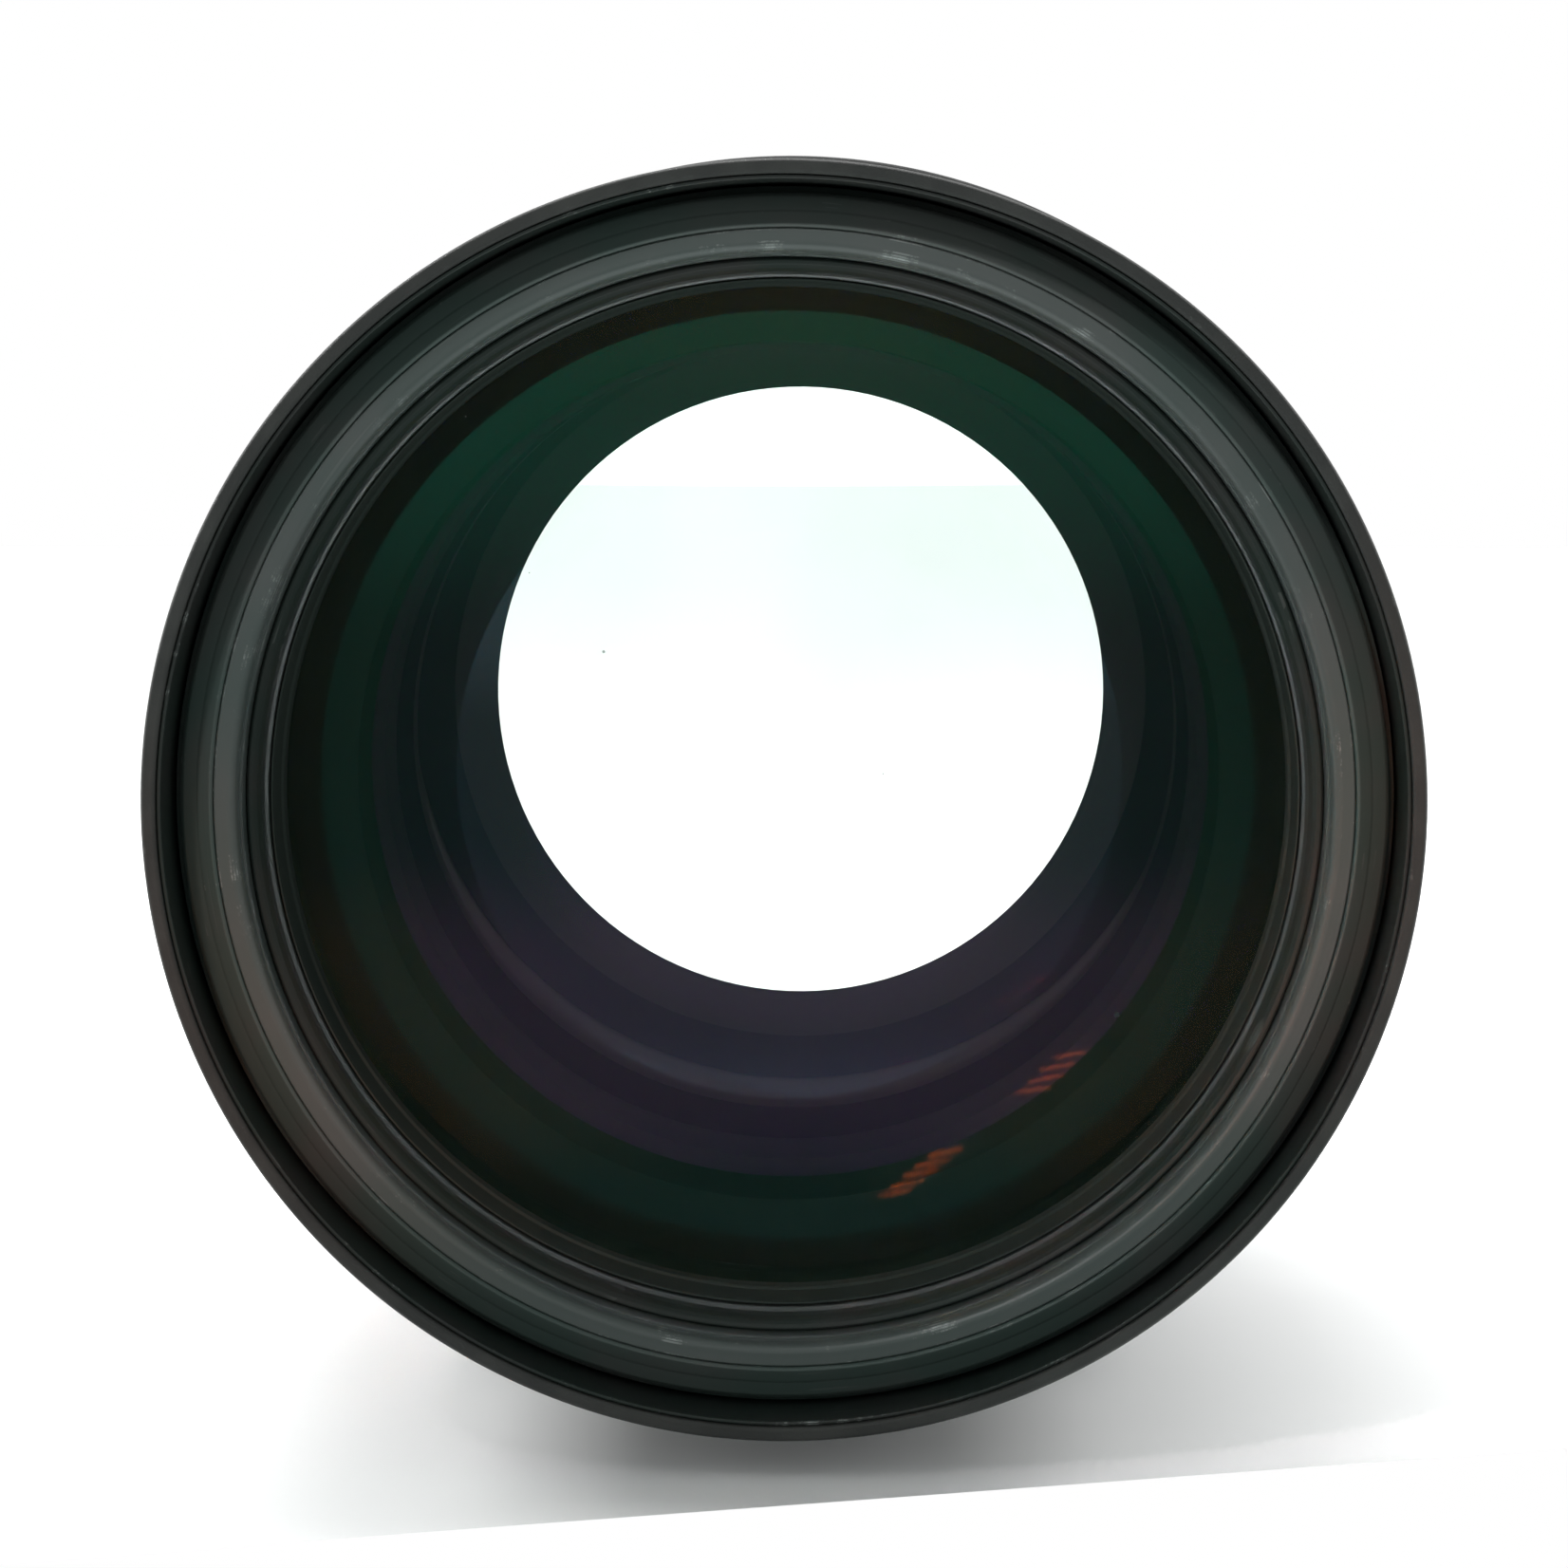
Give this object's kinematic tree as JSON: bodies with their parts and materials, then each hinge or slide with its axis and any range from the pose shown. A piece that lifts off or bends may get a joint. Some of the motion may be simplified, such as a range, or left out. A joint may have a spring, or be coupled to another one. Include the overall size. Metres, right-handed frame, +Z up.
{
  "type": "telescope eyepiece",
  "caption": "Two-inch wide-field eyepiece with a twist-up eyecup, a rubber grip, a stepped lens tube and a nose barrel with an undercut and a filter thread.",
  "frame": {"origin": "on the optical axis, in the plane of the shoulder that seats on the focuser", "axes": "+Y along the optical axis, out of the nose barrel, so the eye end faces -Y; +Z up, with the eyepiece lying on its side; +X to the right when looking into the eye lens"},
  "size_m": [0.0606, 0.092, 0.0606],
  "materials": {
    "black_anodised": "satin black anodised, edges slightly worn",
    "chamfered_ring": "black anodised with a bright worn chamfer",
    "black_interior": "matt black, fine turned grooves",
    "satin_chrome": "satin chrome plate over turned brass",
    "rubber": "matt moulded rubber with fine ribs",
    "seal_rubber": "smooth greased rubber",
    "coated_glass": "polished, green and violet coatings",
    "black_steel": "blackened steel",
    "bright_steel": "polished",
    "brass": "turned, lightly greased"
  },
  "bodies": {
    "body": {"nose_barrel": "satin_chrome", "field_stop": "black_interior", "main_body": "black_anodised", "body_set_screws": "black_steel", "grip_rubber": "rubber", "lens_tube": "black_interior", "drag_o_ring": "seal_rubber", "eye_flint": "coated_glass", "eye_crown": "coated_glass", "front_spacer": "black_interior", "middle_lens": "coated_glass", "rear_spacer": "black_interior", "field_crown": "coated_glass", "field_flint": "coated_glass", "field_retainer": "black_interior", "front_ring": "black_anodised", "front_lock_ring": "chamfered_ring", "eye_retainer": "black_interior", "click_ball": "bright_steel", "click_spring": "bright_steel"},
    "click_ring": {"click_ring": "brass"},
    "eyecup": {"eyecup_sleeve": "black_anodised", "guide_screws": "black_steel", "eyecup_rubber": "rubber"}
  },
  "joints": [
    {"name": "eyecup_twist", "type": "hinge", "parent": "body", "child": "click_ring", "pos_m": [0, -0.027, 0], "axis": [0, -1, 0], "range_deg": [0, 120]},
    {"name": "eyecup_rise", "type": "slide", "parent": "click_ring", "child": "eyecup", "axis": [0, -1, 0], "range_m": [0, 0.0075]}
  ],
  "couplings": [
    {"joint": "eyecup_rise", "follows": "eyecup_twist", "m_per_rad": 0.003581}
  ]
}
